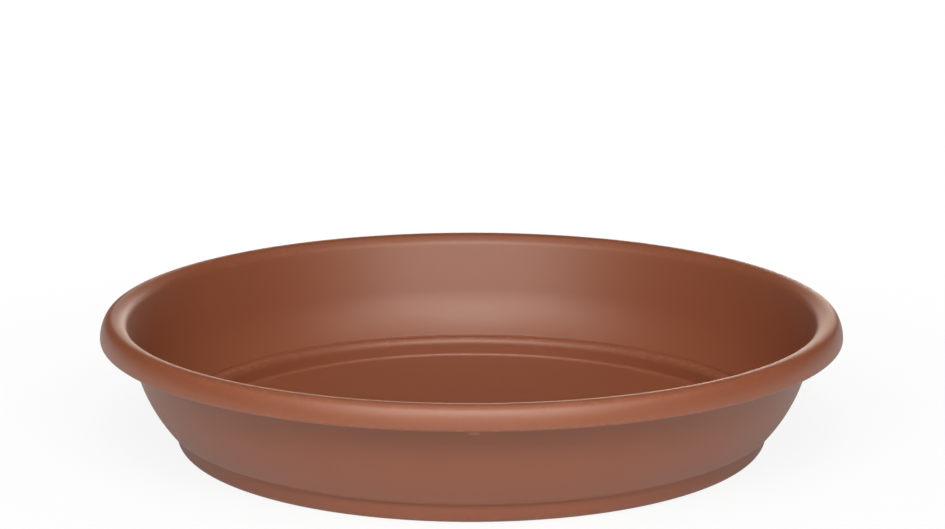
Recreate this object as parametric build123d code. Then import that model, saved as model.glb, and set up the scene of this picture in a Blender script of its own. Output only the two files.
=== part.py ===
from build123d import *
from math import acos, cos, degrees, radians, sin, tan
import os

# Driving dimensions of the saucer, in millimetres and degrees.
rim_diameter = 305.0
height = 54.2
wall = 2.2

# Rolled lip: a crest that turns over and hangs down outside the wall, open underneath.
crest_radius = 4.4
flare_radius = 6.2
lip_depth = 9.4
lip_lean = 11.0
lip_edge_chamfer = 0.8
hollow_lip_chamfer = 1.0
hollow_wall_chamfer = 1.6

# Bowl wall: a straight upper run that leans outwards, then a turn in towards the foot.
wall_lean = 18.7
bowl_start = 30.5
bowl_radius = 60.0

# Step where the foot is set in under the wall, with a narrow ledge inside.
ledge_height = 11.3
step_chamfer = 2.4
foot_inset = 1.7

# Foot and floor.
foot_wall = 2.7
foot_draft = 12.0
foot_chamfer = 2.4
floor_wall = 2.2
floor_chamfer = 0.8
floor_recess = 0.6
recess_slope = 45.0
rest_ring_width = 6.0

# Stub of the moulding gate, in the middle of the underside.
gate_diameter = 3.6
gate_clearance = 0.2

# Stacking lugs: ribs in the hollow of the lip that keep nested saucers from jamming.
lug_count = 3
lug_first_angle = -90.0
lug_width = 4.4
lug_drop = 1.2
lug_inset = 0.9
lug_taper = 0.4


def along(angle):
    """Unit vector at an angle from the radial direction, in the section's plane of radius and height."""
    return Vector(cos(radians(angle)), sin(radians(angle)))


# Lip: its face is tangent to the crest, and is widest just above the chamfer on its lower edge.
lip_slope = tan(radians(lip_lean))
lip_normal = along(lip_lean)
lip_bottom = height - lip_depth
lip_corner = Vector(rim_diameter / 2 + lip_edge_chamfer * sin(radians(lip_lean)), lip_bottom)
crest_z = height - crest_radius
crest_r = lip_corner.X - (crest_z - lip_bottom) * lip_slope - crest_radius / cos(radians(lip_lean))
crest_centre = Vector(crest_r, crest_z)
flare_centre = Vector(crest_r, height - flare_radius)

# Wall: the inside surface, with the outside one wall thickness behind it.
wall_slope = tan(radians(wall_lean))
wall_angle = 180 - wall_lean
inward = along(wall_angle)
run_top = flare_centre + inward * flare_radius
run_bottom = Vector(run_top.X - (run_top.Y - bowl_start) * wall_slope, bowl_start)
bowl_centre = run_bottom + inward * bowl_radius
ledge_under = ledge_height - wall
crease_slope = degrees(acos((bowl_centre.Y - ledge_height) / bowl_radius))
edge_slope = degrees(acos((bowl_centre.Y - ledge_under) / (bowl_radius + wall)))
crease = bowl_centre + along(crease_slope - 90) * bowl_radius
wall_edge = bowl_centre + along(edge_slope - 90) * (bowl_radius + wall)

# Hollow under the lip: one wall thickness inside the lip's face, its crest and the bowl wall.
hollow_top = height - wall
lip_inner_corner = Vector(lip_corner.X - wall / cos(radians(lip_lean)), lip_bottom)
hollow_lip_corner = Vector(lip_inner_corner.X - (hollow_top - lip_bottom) * lip_slope, hollow_top)
outer_run_top = run_top.X + wall / cos(radians(wall_lean))
hollow_wall_corner = Vector(outer_run_top + (hollow_top - run_top.Y) * wall_slope, hollow_top)


def foot_face(z):
    """Point on the foot's outer face at a height."""
    return Vector(wall_edge.X - foot_inset - (ledge_under - z) * tan(radians(foot_draft)), z)


def band_face(z):
    """Point on the foot's inner face at a height."""
    return foot_face(z) - Vector(foot_wall / cos(radians(foot_draft)), 0)


# Floor: raised a little inside a flat ring that the saucer rests on.
floor_top = floor_recess + floor_wall
floor_corner = band_face(floor_top)
step_corner = band_face(ledge_height)
foot_corner = foot_face(0)
ring_outer = foot_corner.X - foot_chamfer
ring_inner = ring_outer - rest_ring_width
recess_edge = ring_inner - floor_recess / tan(radians(recess_slope))


def sharp_section():
    """Half section of the moulding, before its corners are broken."""
    inside = Polyline((0, floor_top), floor_corner, step_corner, crease)
    inner_bowl = CenterArc(bowl_centre, bowl_radius, crease_slope - 90, wall_angle - 90 - crease_slope)
    inner_run = Line(run_bottom, run_top)
    flare = CenterArc(flare_centre, flare_radius, wall_angle, 90 - wall_angle)
    crest = CenterArc(crest_centre, crest_radius, 90, lip_lean - 90)
    lip_and_hollow = Polyline(
        crest_centre + lip_normal * crest_radius,
        lip_corner,
        lip_inner_corner,
        hollow_lip_corner,
        hollow_wall_corner,
        run_bottom - inward * wall,
    )
    outer_bowl = CenterArc(bowl_centre, bowl_radius + wall, wall_angle - 180, edge_slope + 90 - wall_angle)
    underneath = Polyline(
        wall_edge,
        foot_face(ledge_under),
        foot_corner,
        (ring_inner, 0),
        (recess_edge, floor_recess),
        (gate_diameter / 2, floor_recess),
        (gate_diameter / 2, gate_clearance),
        (0, gate_clearance),
        (0, floor_top),
    )
    upper = [inside, inner_bowl, inner_run, flare, crest]
    return make_face(Curve() + upper + [lip_and_hollow, outer_bowl, underneath])


def saucer_body():
    """Section with its corners broken, turned about the axis."""
    section = sharp_section()
    chamfers = [
        (floor_corner, floor_chamfer),
        (step_corner, step_chamfer),
        (lip_corner, lip_edge_chamfer),
        (hollow_lip_corner, hollow_lip_chamfer),
        (hollow_wall_corner, hollow_wall_chamfer),
        (foot_corner, foot_chamfer),
    ]
    for corner, length in chamfers:
        section = chamfer(section.vertices().sort_by_distance(corner)[0], length)
    return revolve(Plane.XZ * section, Axis.Z)


def stacking_lug():
    """Rib across the hollow of the lip, rooted in its walls, with a tapered toe below the lip's edge."""
    root = wall / 4
    toe_z = lip_bottom - lug_drop
    face_r = rim_diameter / 2 - lug_inset
    wall_at_toe = outer_run_top - (run_top.Y - toe_z) * wall_slope
    outline = Polyline(
        (wall_at_toe - root, toe_z),
        (face_r - lug_taper, toe_z),
        (face_r, lip_bottom),
        (face_r, lip_bottom + root),
        crest_centre + lip_normal * (crest_radius - root),
        (crest_r, height - root),
        flare_centre + inward * (flare_radius - root),
        close=True,
    )
    return extrude(Plane.XZ * make_face(outline), amount=lug_width / 2, both=True)


saucer = saucer_body()
for index in range(lug_count):
    saucer += Rot(0, 0, lug_first_angle + index * 360 / lug_count) * stacking_lug()

os.makedirs("parts", exist_ok=True)
export_step(saucer, "parts/saucer.step")
print("rest ring", round(2 * ring_inner, 1), "to", round(2 * ring_outer, 1), "mm across")
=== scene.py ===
import math

import bpy
import numpy as np
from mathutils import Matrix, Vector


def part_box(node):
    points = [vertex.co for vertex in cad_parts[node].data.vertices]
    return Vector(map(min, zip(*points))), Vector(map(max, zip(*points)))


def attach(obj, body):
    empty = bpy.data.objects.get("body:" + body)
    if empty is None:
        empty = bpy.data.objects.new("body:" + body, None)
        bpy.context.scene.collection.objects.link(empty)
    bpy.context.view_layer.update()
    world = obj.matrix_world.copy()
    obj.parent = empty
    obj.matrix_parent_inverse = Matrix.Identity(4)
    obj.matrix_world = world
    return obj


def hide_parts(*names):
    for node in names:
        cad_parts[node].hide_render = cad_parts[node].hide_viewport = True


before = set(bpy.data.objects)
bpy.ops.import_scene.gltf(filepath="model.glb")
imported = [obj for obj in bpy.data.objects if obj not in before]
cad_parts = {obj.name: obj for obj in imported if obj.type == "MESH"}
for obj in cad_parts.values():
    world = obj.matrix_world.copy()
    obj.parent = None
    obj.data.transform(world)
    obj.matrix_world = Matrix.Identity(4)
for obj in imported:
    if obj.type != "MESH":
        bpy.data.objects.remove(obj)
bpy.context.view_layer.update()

mm = 0.001
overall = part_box("saucer")[1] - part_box("saucer")[0]


# The saucer is one turned section. Sizes are in millimetres and degrees.
saucerShape = {
    "rimRadius": overall.x / 2 / mm,
    "height": overall.z / mm,
    "wall": 2.2,
    "crestRadius": 4.09,     # outer shoulder of the rolled lip
    "lipBow": 12.5,          # radius of the lip's bowed face
    "flareRadius": 6.2,      # inner shoulder, down into the bowl
    "lipDepth": 9.4,
    "lipLean": 11.0,         # of the hollow's outer side
    "wallLean": 18.7,
    "bowlStart": 30.5,       # height where the straight wall starts to turn in
    "bowlRadius": 60.0,
    "ledgeHeight": 11.05,
    "stepDeep": 2.4,         # oval shoulder of the step, across and down
    "stepTall": 3.7,
    "creaseRound": 0.8,      # hollow round where the wall meets the ledge
    "footInset": 1.7,
    "footWall": 2.7,
    "footDraft": 12.0,
    "bandDraft": 5.0,        # the foot's inner face is steeper than its outer one
    "bandMiddle": 5.0,       # height where the two faces are a foot wall apart
    "footRound": 4.0,
    "stepCorner": 1.1,
    "floorWall": 2.2,
    "floorFillet": 1.5,
    "floorRecess": 0.6,      # how far the floor stands clear inside the rest ring
    "restRing": 6.0,
    "gateRadius": 1.8,
    "gateClearance": 0.2,
    "sharpRound": 0.25,      # the least round that a moulded edge has
    "columns": 330,          # divisions round the turn
    "rubbed": 0.5,           # outward bend per millimetre at which an edge is rubbed in full
}

# Stacking lugs: ribs across the hollow under the lip
lugShape = {
    "count": 3,
    "firstAngle": -90.0,     # the front
    "width": 4.4,
    "drop": 1.2,             # of the toe, below the lip's edge
    "inset": 0.9,            # of the face, behind the rim
    "taper": 0.4,            # of the face, down to the toe
    "sideRound": 0.25,
}


# Points on a circle: centre plus radius times (cosine, sine) of evenly spaced angles.
def arcPoints(centre, radius, startAngle, endAngle, count):
    turn = np.radians(np.linspace(startAngle, endAngle, count))
    return np.stack([centre[0] + radius * np.cos(turn), centre[1] + radius * np.sin(turn)], 1)


# Points on a straight run, eased by a cosine so that they crowd towards both ends.
def runPoints(start, end, count):
    share = (1 - np.cos(np.linspace(0, np.pi, count)))[:, None] / 2
    return np.asarray(start) * (1 - share) + np.asarray(end) * share


# Round in a corner: the arc that touches both legs, with its centre on the line that halves the corner.
def roundPoints(before, corner, after, radius, count):
    before, corner, after = (np.asarray(p, float) for p in (before, corner, after))
    legIn = (before - corner) / np.linalg.norm(before - corner)
    legOut = (after - corner) / np.linalg.norm(after - corner)
    half = np.arccos(np.clip(legIn @ legOut, -1, 1)) / 2
    middle = (legIn + legOut) / np.linalg.norm(legIn + legOut)
    centre = corner + middle * radius / np.sin(half)
    spokeIn = corner + legIn * radius / np.tan(half) - centre
    spokeOut = corner + legOut * radius / np.tan(half) - centre
    first = np.arctan2(spokeIn[1], spokeIn[0])
    sweep = np.arctan2(spokeIn[0] * spokeOut[1] - spokeIn[1] * spokeOut[0], spokeIn @ spokeOut)
    return arcPoints(centre, radius, math.degrees(first), math.degrees(first + sweep), count)


def unit(angle):
    return np.array([math.cos(math.radians(angle)), math.sin(math.radians(angle))])


# Joins stretches of points, and drops points that repeat the one before them.
def chain(*stretches, least=1e-4):
    points = np.concatenate(stretches)
    step = np.linalg.norm(np.diff(points, axis=0), axis=1)
    return points[np.concatenate([[True], step > least])]


# Section of the saucer as (radius, height) points, from the floor's centre over the lip and back under to
# the axis. Returns the stretch before the lip's hollow, the hollow plain and crossed by a lug, and the
# stretch after it.
def saucerSection(s, lug):
    wall = s["wall"]
    wallLean, draft = math.radians(s["wallLean"]), math.radians(s["footDraft"])
    bandDraft = math.radians(s["bandDraft"])
    fine = s["sharpRound"]

    # lip: a bowed face, upright at the full round of its lower edge, that runs up into the crest
    endRadius = wall / 2
    lipBottom = s["height"] - s["lipDepth"]
    lipEnd = np.array([s["rimRadius"] - endRadius, lipBottom + endRadius])
    crestZ = s["height"] - s["crestRadius"]
    bow = lipEnd - (s["lipBow"] - endRadius, 0)
    bowTop = math.degrees(math.asin((crestZ - lipEnd[1]) / (s["lipBow"] - s["crestRadius"])))
    crest = bow + unit(bowTop) * (s["lipBow"] - s["crestRadius"])
    flare = np.array([crest[0], s["height"] - s["flareRadius"]])
    lipNormal = unit(s["lipLean"])

    # wall: the inside surface, and the outside one a wall thickness behind it
    wallAngle = 180 - s["wallLean"]
    inward = unit(wallAngle)
    runTop = flare + inward * s["flareRadius"]
    runBottom = np.array([runTop[0] - (runTop[1] - s["bowlStart"]) * math.tan(wallLean), s["bowlStart"]])
    bowl = runBottom + inward * s["bowlRadius"]
    ledgeUnder = s["ledgeHeight"] - wall
    outerBowl = s["bowlRadius"] + wall
    creaseAngle = -math.degrees(math.asin((bowl[1] - s["ledgeHeight"]) / s["bowlRadius"]))
    edgeAngle = -math.degrees(math.asin((bowl[1] - ledgeUnder) / outerBowl))
    crease = bowl + unit(creaseAngle) * s["bowlRadius"]
    wallEdge = bowl + unit(edgeAngle) * outerBowl

    # foot: both faces lean out by their own drafts
    def footFace(z):
        return np.array([wallEdge[0] - s["footInset"] - (ledgeUnder - z) * math.tan(draft), z])

    def bandFace(z):
        middle = footFace(s["bandMiddle"])[0] - s["footWall"] / math.cos(draft)
        return np.array([middle + (z - s["bandMiddle"]) * math.tan(bandDraft), z])

    floorTop = s["floorRecess"] + s["floorWall"]
    turnTangent = math.tan((math.pi / 2 - draft) / 2)
    ringOuter = footFace(0)[0] - s["footRound"] * turnTangent
    ringInner = np.array([ringOuter - s["restRing"], 0])
    recess = np.array([ringInner[0] - s["floorRecess"], s["floorRecess"]])
    gateTop = np.array([s["gateRadius"], s["floorRecess"]])
    gateEnd = np.array([s["gateRadius"], s["gateClearance"]])

    # inside, from the axis up to the lip's lower edge
    bandTop = bandFace(s["ledgeHeight"])
    floorArc = roundPoints((0, floorTop), bandFace(floorTop), bandTop, s["floorFillet"], 10)
    stepTilt = math.degrees(math.atan(s["stepTall"] / s["stepDeep"] * math.tan(bandDraft)))
    stepSpread = unit(180 - stepTilt)
    stepShift = s["stepTall"] * stepSpread[1] * math.tan(bandDraft) - s["stepDeep"] * stepSpread[0]
    stepZ = s["ledgeHeight"] - s["stepTall"]
    stepArc = arcPoints((0, 0), 1, 180 - stepTilt, 90, 18) * (s["stepDeep"], s["stepTall"])
    stepArc = stepArc + (bandFace(stepZ)[0] + stepShift, stepZ)
    bowlTangent = unit(creaseAngle + 90)
    creaseArc = roundPoints(stepArc[-1], crease, crease + bowlTangent, s["creaseRound"], 9)
    creaseTrim = math.degrees(np.linalg.norm(creaseArc[-1] - crease) / s["bowlRadius"])
    toeZ = lipBottom - lug["drop"]
    lugFace = np.array([s["rimRadius"] - lug["inset"], lipBottom])
    leaveAngle = -math.degrees(math.acos((lugFace[0] - lipEnd[0]) / endRadius))
    before = chain(
        runPoints((0, floorTop), floorArc[0], 14),
        floorArc,
        runPoints(floorArc[-1], stepArc[0], 6),
        stepArc,
        creaseArc,
        arcPoints(bowl, s["bowlRadius"], creaseAngle + creaseTrim, wallAngle - 180, 26),
        runPoints(runBottom, runTop, 12),
        arcPoints(flare, s["flareRadius"], wallAngle, 90, 18),
        arcPoints(crest, s["crestRadius"], 90, bowTop, 16),
        arcPoints(bow, s["lipBow"], bowTop, 0, 14),
        arcPoints(lipEnd, endRadius, 0, leaveAngle, 8),
    )

    # hollow under the lip, as far down the wall as a lug's toe
    outerTop = runTop - inward * wall
    toeWall = np.array([outerTop[0] - (outerTop[1] - toeZ) * math.tan(wallLean), toeZ])
    crestHollow = s["crestRadius"] - wall
    plain = chain(
        arcPoints(lipEnd, endRadius, leaveAngle, s["lipLean"] - 180, 10),
        runPoints(lipEnd - lipNormal * endRadius, crest + lipNormal * crestHollow, 7),
        arcPoints(crest, crestHollow, s["lipLean"], 90, 10),
        arcPoints(flare, s["flareRadius"] - wall, 90, wallAngle, 12),
        runPoints(outerTop, toeWall, 7),
    )
    toe = np.array([lugFace[0] - lug["taper"], toeZ])
    toeArc = roundPoints(before[-1], toe, toeWall, lug["sideRound"], 6)
    down = runPoints(before[-1], toeArc[0], 7)[:-1]
    spare = len(plain) - len(down) - len(toeArc)
    back = runPoints(toeArc[-1], toeWall, spare + 1)[1:]
    crossed = np.concatenate([down, toeArc, back])  # as many points as the plain hollow

    # outside of the wall, foot and underside, back to the axis
    edgeArc = roundPoints(wallEdge + unit(edgeAngle + 90), wallEdge, footFace(ledgeUnder), fine, 5)
    edgeTrim = math.degrees(np.linalg.norm(edgeArc[0] - wallEdge) / outerBowl)
    cornerArc = roundPoints(wallEdge, footFace(ledgeUnder), footFace(0), s["stepCorner"], 8)
    footArc = roundPoints(footFace(ledgeUnder), footFace(0), ringInner, s["footRound"], 16)
    ringArc = roundPoints(footArc[-1], ringInner, recess, fine, 4)
    recessArc = roundPoints(ringInner, recess, gateTop, fine, 4)
    gateArc = roundPoints(gateTop, gateEnd, (0, s["gateClearance"]), fine / 2, 4)
    after = chain(
        runPoints(toeWall, runBottom - inward * wall, 10),
        arcPoints(bowl, outerBowl, wallAngle - 180, edgeAngle + edgeTrim, 24),
        edgeArc,
        cornerArc,
        runPoints(cornerArc[-1], footArc[0], 6),
        footArc,
        ringArc,
        recessArc,
        runPoints(recessArc[-1], gateTop, 10),
        gateArc,
        runPoints(gateArc[-1], (0, s["gateClearance"]), 3),
    )
    return before[:-1], plain, crossed, after[1:]


# Angles of the columns round the turn: an even fan, with close columns where a lug's sides stand. The lug
# mask goes with them: 1 across a lug, falling to 0 over the round of its sides.
def turnAngles(s, lug):
    even = np.linspace(-np.pi, np.pi, s["columns"], endpoint=False)
    half = lug["width"] / 2 / s["rimRadius"]
    side = lug["sideRound"] / s["rimRadius"]
    centres = np.radians(lug["firstAngle"] + np.arange(lug["count"]) * 360 / lug["count"])
    marks = half + side * np.array([-1.0, 0.0, 1.0, 3.0])  # the close columns, in rounds from the side
    local = np.concatenate([-marks, [-half / 2, 0, half / 2], marks])
    offset = np.abs((even[:, None] - centres + np.pi) % (2 * np.pi) - np.pi).min(1)
    angles = np.concatenate([even[offset > marks[-1] + side], (centres[:, None] + local).ravel()])
    angles = np.sort((angles + np.pi) % (2 * np.pi) - np.pi)
    offset = np.abs((angles[:, None] - centres + np.pi) % (2 * np.pi) - np.pi).min(1)
    return angles, np.clip((half - offset) / side, 0, 1)


# How far each inner point of the section stands out to be rubbed: its outward bend per millimetre, as a
# share of the bend that is rubbed in full.
def edgeWear(section, rubbed):
    leg = np.diff(section, axis=0)
    length = np.linalg.norm(leg, axis=1)
    heading = leg / length[:, None]
    sine = heading[:-1, 1] * heading[1:, 0] - heading[:-1, 0] * heading[1:, 1]
    reach = (length[:-1] + length[1:]) / 2
    return np.clip(np.arcsin(np.clip(sine, -1, 1)) / reach / rubbed, 0, 1)


# Turned surface: a section point (radius, height) at turn t stands at (radius cos t, radius sin t, height).
# Where the lug mask is 1 the hollow's points take the lug's outline instead.
def buildSaucer(s, lug):
    before, plain, crossed, after = saucerSection(s, lug)
    angles, mask = turnAngles(s, lug)
    section = np.concatenate([before, plain, after])[:, None, :] * np.ones((1, len(angles), 1))
    hollow = slice(len(before), len(before) + len(plain))
    section[hollow] += mask[None, :, None] * (crossed - plain)[:, None, :]
    rings = section[1:-1]
    grid = np.stack([rings[..., 0] * np.cos(angles), rings[..., 0] * np.sin(angles), rings[..., 1]], -1)
    top = [[0, 0, section[0, 0, 1]]]
    bottom = [[0, 0, section[-1, 0, 1]]]
    points = np.concatenate([top, grid.reshape(-1, 3), bottom]) * mm

    rows, columns = grid.shape[:2]
    index = 1 + np.arange(rows * columns).reshape(rows, columns)
    turned = np.roll(index, -1, 1)
    quads = np.stack([index[:-1], index[1:], turned[1:], turned[:-1]], -1).reshape(-1, 4)
    topFan = np.stack([np.zeros(columns, int), index[0], turned[0]], -1)
    bottomFan = np.stack([np.full(columns, len(points) - 1), turned[-1], index[-1]], -1)

    mesh = bpy.data.meshes.new("saucer")
    mesh.from_pydata(points.tolist(), [], topFan.tolist() + quads.tolist() + bottomFan.tolist())
    mesh.polygons.foreach_set("use_smooth", np.ones(len(mesh.polygons), bool))
    wear = np.repeat(edgeWear(np.concatenate([before, plain, after]), s["rubbed"]), columns)
    wear = np.concatenate([[0], wear, [0]])
    mesh.attributes.new("wear", "FLOAT", "POINT").data.foreach_set("value", wear)
    mesh.update()
    piece = bpy.data.objects.new("saucer_moulding", mesh)
    bpy.context.scene.collection.objects.link(piece)
    print("saucer:", len(points), "points,", rows, "rings of", columns)
    return piece


saucer = buildSaucer(saucerShape, lugShape)
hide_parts("saucer")
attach(saucer, "root")


# Satin terracotta plastic
plasticLook = {
    "colour": (0.222, 0.0625, 0.0260, 1),
    "paler": (0.241, 0.0682, 0.0288, 1),
    "scuffed": (0.300, 0.1050, 0.0560, 1),
    "sheen": (1.0, 0.9, 0.8, 1),  # the gloss is warm where seen square on
    "gloss": 0.75,
    "bending": 1.5,          # index of refraction
    "roughLow": 0.42,
    "roughHigh": 0.48,
    "scuffRough": 0.14,
    "mottleSize": 22.0,      # mm
    "flowRays": 26.0,        # streaks that ran out from the gate, as the scale of their noise
    "flowLength": 45.0,      # mm
    "flowShare": 0.4,
    "scuffSize": 2.6,        # mm
    "scuffStart": 0.46,      # levels of noise between which a scuff fades in
    "scuffFull": 0.72,
    "grainSize": 0.5,        # mm
    "grainDepth": 0.006,     # mm
}


# Adds a node, and sets its sockets and settings by name.
def addNode(tree, kind, **settings):
    node = tree.nodes.new(kind)
    for name, value in settings.items():
        if name in node.inputs:
            node.inputs[name].default_value = value
        else:
            setattr(node, name, value)
    return node


def plasticMaterial(look):
    material = bpy.data.materials.new("terracotta_plastic")
    material.use_nodes = True
    tree = material.node_tree
    tree.nodes.clear()
    link = tree.links.new
    output = addNode(tree, "ShaderNodeOutputMaterial")
    plastic = addNode(tree, "ShaderNodeBsdfPrincipled")
    plastic.inputs["IOR"].default_value = look["bending"]
    plastic.inputs["Specular IOR Level"].default_value = look["gloss"]
    plastic.inputs["Specular Tint"].default_value = look["sheen"]
    place = addNode(tree, "ShaderNodeTexCoord")

    # slow mottling of the pigment, and faint streaks that run out from the gate
    mottle = addNode(tree, "ShaderNodeTexNoise", Detail=4.0, Roughness=0.6)
    mottle.inputs["Scale"].default_value = 1 / (look["mottleSize"] * mm)
    flat = addNode(tree, "ShaderNodeVectorMath", operation="MULTIPLY")
    flat.inputs[1].default_value = (1, 1, 0)
    heading = addNode(tree, "ShaderNodeVectorMath", operation="NORMALIZE")
    reach = addNode(tree, "ShaderNodeVectorMath", operation="LENGTH")
    stretch = addNode(tree, "ShaderNodeMath", operation="DIVIDE")
    stretch.inputs[1].default_value = look["flowLength"] * mm * look["flowRays"]
    lift = addNode(tree, "ShaderNodeCombineXYZ")
    ray = addNode(tree, "ShaderNodeVectorMath", operation="ADD")
    flow = addNode(tree, "ShaderNodeTexNoise", Scale=look["flowRays"], Detail=3.0)
    blend = addNode(tree, "ShaderNodeMix", Factor=look["flowShare"])
    tone = addNode(tree, "ShaderNodeMix", data_type="RGBA")
    tone.inputs[6].default_value = look["colour"]  # sockets 6 and 7 are a Mix node's two colours
    tone.inputs[7].default_value = look["paler"]
    link(place.outputs["Object"], mottle.inputs["Vector"])
    link(place.outputs["Object"], flat.inputs[0])
    link(flat.outputs[0], heading.inputs[0])
    link(place.outputs["Object"], reach.inputs[0])
    link(reach.outputs["Value"], stretch.inputs[0])
    link(stretch.outputs[0], lift.inputs["Z"])
    link(heading.outputs[0], ray.inputs[0])
    link(lift.outputs[0], ray.inputs[1])
    link(ray.outputs[0], flow.inputs["Vector"])
    link(mottle.outputs["Fac"], blend.inputs[2])
    link(flow.outputs["Fac"], blend.inputs[3])
    link(blend.outputs[0], tone.inputs[0])

    # light scuffs, broken up, on the edges that get rubbed
    rub = addNode(tree, "ShaderNodeAttribute", attribute_name="wear")
    patchy = addNode(tree, "ShaderNodeTexNoise", Detail=6.0, Roughness=0.65)
    patchy.inputs["Scale"].default_value = 1 / (look["scuffSize"] * mm)
    bare = addNode(tree, "ShaderNodeMapRange", interpolation_type="SMOOTHSTEP")
    bare.inputs["From Min"].default_value = look["scuffStart"]
    bare.inputs["From Max"].default_value = look["scuffFull"]
    scuff = addNode(tree, "ShaderNodeMath", operation="MULTIPLY")
    worn = addNode(tree, "ShaderNodeMix", data_type="RGBA")
    worn.inputs[7].default_value = look["scuffed"]
    link(place.outputs["Object"], patchy.inputs["Vector"])
    link(patchy.outputs["Fac"], bare.inputs["Value"])
    link(bare.outputs["Result"], scuff.inputs[0])
    link(rub.outputs["Fac"], scuff.inputs[1])
    link(scuff.outputs[0], worn.inputs[0])
    link(tone.outputs[2], worn.inputs[6])
    link(worn.outputs[2], plastic.inputs["Base Color"])

    # gloss varies with the mottling and streaks, and scuffs are duller
    gloss = addNode(tree, "ShaderNodeMapRange")
    gloss.inputs["To Min"].default_value = look["roughLow"]
    gloss.inputs["To Max"].default_value = look["roughHigh"]
    dull = addNode(tree, "ShaderNodeMath", operation="MULTIPLY_ADD")
    dull.inputs[1].default_value = look["scuffRough"]
    link(blend.outputs[0], gloss.inputs["Value"])
    link(scuff.outputs[0], dull.inputs[0])
    link(gloss.outputs["Result"], dull.inputs[2])
    link(dull.outputs[0], plastic.inputs["Roughness"])

    # fine grain of the mould's face
    grain = addNode(tree, "ShaderNodeTexNoise", Detail=2.0)
    grain.inputs["Scale"].default_value = 1 / (look["grainSize"] * mm)
    bump = addNode(tree, "ShaderNodeBump", Strength=1.0, Distance=look["grainDepth"] * mm)
    link(place.outputs["Object"], grain.inputs["Vector"])
    link(grain.outputs["Fac"], bump.inputs["Height"])
    link(bump.outputs["Normal"], plastic.inputs["Normal"])
    link(plastic.outputs["BSDF"], output.inputs["Surface"])
    return material


saucer.data.materials.append(plasticMaterial(plasticLook))
print("plastic: satin terracotta")


# Stage: a white floor that keeps the shadow, and a white world
stageLook = {
    "floorHalf": 6.0,        # m
    "floorGap": 0.05,        # mm, so that the rest ring and the floor aren't in one plane
    "floorColour": (0.86, 0.86, 0.86, 1),
    "nearWhiteCamera": 0.88,  # share of plain white that the camera sees beside the saucer
    "nearWhiteGlossy": 0.30,  # and that reflections see
    "whiteNear": 0.13,       # m from the axis, where those shares start to rise
    "whiteFar": 0.40,        # and where the floor is all white
    "floorShine": 0.02,      # white that the lit paper gives by itself
    "skyLight": 0.01,
    "backdropLight": 0.5,    # white sweep behind and beside the saucer
    "backdropFade": 0.06,    # sines of the height angles between which it fades out
    "backdropTop": 0.18,
    "backdropEdge": 0.3,     # how softly it ends towards the front
}


def buildFloor(look):
    half = look["floorHalf"]
    z = -look["floorGap"] * mm
    corners = [(-half, -half, z), (half, -half, z), (half, half, z), (-half, half, z)]
    mesh = bpy.data.meshes.new("floor")
    mesh.from_pydata(corners, [], [(0, 1, 2, 3)])
    floor = bpy.data.objects.new("floor", mesh)
    bpy.context.scene.collection.objects.link(floor)
    material = bpy.data.materials.new("floor")
    material.use_nodes = True
    tree = material.node_tree
    tree.nodes.clear()
    link = tree.links.new
    output = addNode(tree, "ShaderNodeOutputMaterial")
    paper = addNode(tree, "ShaderNodeBsdfDiffuse", Color=look["floorColour"])
    shine = addNode(tree, "ShaderNodeEmission", Strength=look["floorShine"])
    lit = addNode(tree, "ShaderNodeAddShader")
    white = addNode(tree, "ShaderNodeEmission", Strength=1.0)
    link(paper.outputs[0], lit.inputs[0])
    link(shine.outputs[0], lit.inputs[1])

    # the camera and reflections see more of the paper's plain white the further it lies from the saucer
    place = addNode(tree, "ShaderNodeTexCoord")
    apart = addNode(tree, "ShaderNodeVectorMath", operation="LENGTH")
    seen = addNode(tree, "ShaderNodeLightPath")
    shown = addNode(tree, "ShaderNodeMath", operation="ADD")
    mix = addNode(tree, "ShaderNodeMixShader")
    link(place.outputs["Object"], apart.inputs[0])
    for slot, ray in enumerate(("Camera", "Glossy")):
        share = addNode(tree, "ShaderNodeMapRange", interpolation_type="SMOOTHSTEP")
        share.inputs["From Min"].default_value = look["whiteNear"]
        share.inputs["From Max"].default_value = look["whiteFar"]
        share.inputs["To Min"].default_value = look["nearWhite" + ray]
        part = addNode(tree, "ShaderNodeMath", operation="MULTIPLY")
        link(apart.outputs["Value"], share.inputs["Value"])
        link(seen.outputs[f"Is {ray} Ray"], part.inputs[0])
        link(share.outputs["Result"], part.inputs[1])
        link(part.outputs[0], shown.inputs[slot])
    link(shown.outputs[0], mix.inputs[0])
    link(lit.outputs[0], mix.inputs[1])
    link(white.outputs[0], mix.inputs[2])
    link(mix.outputs[0], output.inputs[0])
    mesh.materials.append(material)


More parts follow.
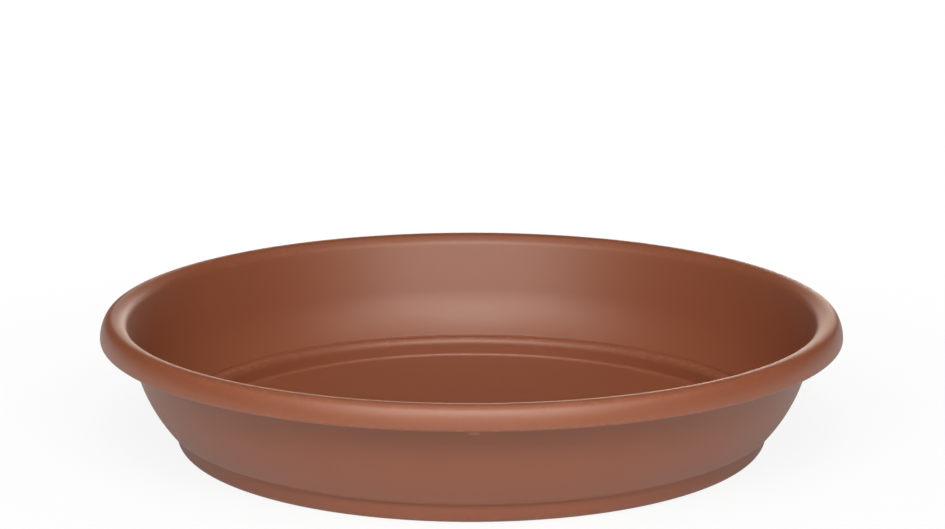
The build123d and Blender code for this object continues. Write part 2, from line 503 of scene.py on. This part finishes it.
def buildWorld(look):
    world = bpy.data.worlds.new("studio")
    bpy.context.scene.world = world
    world.use_nodes = True
    tree = world.node_tree
    tree.nodes.clear()
    link = tree.links.new
    output = addNode(tree, "ShaderNodeOutputWorld")
    soft = addNode(tree, "ShaderNodeBackground", Color=(1, 1, 1, 1))
    white = addNode(tree, "ShaderNodeBackground", Color=(1, 1, 1, 1), Strength=1.0)
    seen = addNode(tree, "ShaderNodeLightPath")
    mix = addNode(tree, "ShaderNodeMixShader")
    place = addNode(tree, "ShaderNodeTexCoord")
    axes = addNode(tree, "ShaderNodeSeparateXYZ")
    rise = addNode(tree, "ShaderNodeMapRange", interpolation_type="SMOOTHSTEP")
    rise.inputs["From Min"].default_value = look["backdropFade"]
    rise.inputs["From Max"].default_value = look["backdropTop"]
    rise.inputs["To Min"].default_value = 1
    rise.inputs["To Max"].default_value = 0
    behind = addNode(tree, "ShaderNodeMapRange", interpolation_type="SMOOTHSTEP")
    behind.inputs["From Min"].default_value = -look["backdropEdge"]
    behind.inputs["From Max"].default_value = look["backdropEdge"]
    share = addNode(tree, "ShaderNodeMath", operation="MULTIPLY")
    level = addNode(tree, "ShaderNodeMapRange")
    level.inputs["To Min"].default_value = look["skyLight"]
    level.inputs["To Max"].default_value = look["backdropLight"]
    link(place.outputs["Generated"], axes.inputs[0])
    link(axes.outputs["Z"], rise.inputs["Value"])
    link(axes.outputs["Y"], behind.inputs["Value"])
    link(rise.outputs["Result"], share.inputs[0])
    link(behind.outputs["Result"], share.inputs[1])
    link(share.outputs[0], level.inputs["Value"])
    link(level.outputs["Result"], soft.inputs["Strength"])
    link(seen.outputs["Is Camera Ray"], mix.inputs[0])
    link(soft.outputs[0], mix.inputs[1])
    link(white.outputs[0], mix.inputs[2])
    link(mix.outputs[0], output.inputs[0])


buildFloor(stageLook)
buildWorld(stageLook)
print("stage: white floor and world")


# Soft boxes: where they stand, as turn from the front and height angle in degrees, and what they give
lampAway = 2.0  # m from the origin, which they all face
plainTint = (1, 1, 1)
warmTint = (1, 0.88, 0.76)
lamps = {
    "key": {"turn": 0, "rise": 45, "size": (0.7, 0.78), "watts": 15.8, "tint": plainTint},
    "leftKey": {"turn": -25, "rise": 36, "size": (0.7, 0.78), "watts": 11.6, "tint": plainTint},
    "rightKey": {"turn": 25, "rise": 36, "size": (0.7, 0.78), "watts": 11.6, "tint": plainTint},
    "leftFill": {"turn": -50, "rise": 45, "size": (0.7, 0.6), "watts": 4.0, "tint": plainTint},
    "rightFill": {"turn": 50, "rise": 45, "size": (0.7, 0.6), "watts": 4.0, "tint": plainTint},
    "low": {"turn": 0, "rise": 4, "size": (1.6, 0.25), "watts": 2.4, "tint": plainTint},
    "top": {"turn": 0, "rise": 90, "size": (1.4, 1.4), "watts": 6.5, "tint": plainTint},
    "backRight": {"turn": 168, "rise": 10, "size": (0.55, 0.42), "watts": 1.8, "tint": warmTint},
    "back": {"turn": 175, "rise": 9, "size": (1.3, 0.5), "watts": 6.6, "tint": warmTint},
}


def addLamp(name, lamp, away):
    data = bpy.data.lights.new(name, "AREA")
    data.shape = "RECTANGLE"
    data.size, data.size_y = lamp["size"]
    data.energy = lamp["watts"]
    data.color = lamp["tint"]
    turn, rise = math.radians(lamp["turn"]), math.radians(lamp["rise"])
    lampObject = bpy.data.objects.new(name, data)
    lampObject.location = (
        away * math.cos(rise) * math.sin(turn),
        -away * math.cos(rise) * math.cos(turn),
        away * math.sin(rise),
    )
    lampObject.rotation_euler = (math.pi / 2 - rise, 0, turn)
    lampObject.visible_camera = False
    bpy.context.scene.collection.objects.link(lampObject)


for name, lamp in lamps.items():
    addLamp(name, lamp, lampAway)
print("lamps:", ", ".join(lamps))


# Camera: looks along +Y from a little above, with the axis about one pixel left of the picture's centre
cameraSetup = {
    "lens": 112.0,           # mm, as the sensor
    "sensor": 36.0,
    "back": 1.1794,          # m from the axis
    "up": 0.3413,            # m
    "tilt": 12.83,           # degrees down
    "turn": -0.34,           # degrees round the axis
    "aside": 0.0004,         # m to the right
    "farthest": 50.0,        # m, past which nothing is drawn
}


def addCamera(setup):
    data = bpy.data.cameras.new("camera")
    data.lens = setup["lens"]
    data.sensor_width = setup["sensor"]
    data.sensor_fit = "HORIZONTAL"
    data.clip_end = setup["farthest"]
    turn = math.radians(setup["turn"])
    camera = bpy.data.objects.new("camera", data)
    camera.location = (
        setup["back"] * math.sin(turn) + setup["aside"] * math.cos(turn),
        -setup["back"] * math.cos(turn) + setup["aside"] * math.sin(turn),
        setup["up"],
    )
    camera.rotation_euler = (math.radians(90 - setup["tilt"]), 0, turn)
    bpy.context.scene.collection.objects.link(camera)
    bpy.context.scene.camera = camera


addCamera(cameraSetup)
bpy.context.scene.view_settings.view_transform = "Standard"
print("camera: set")
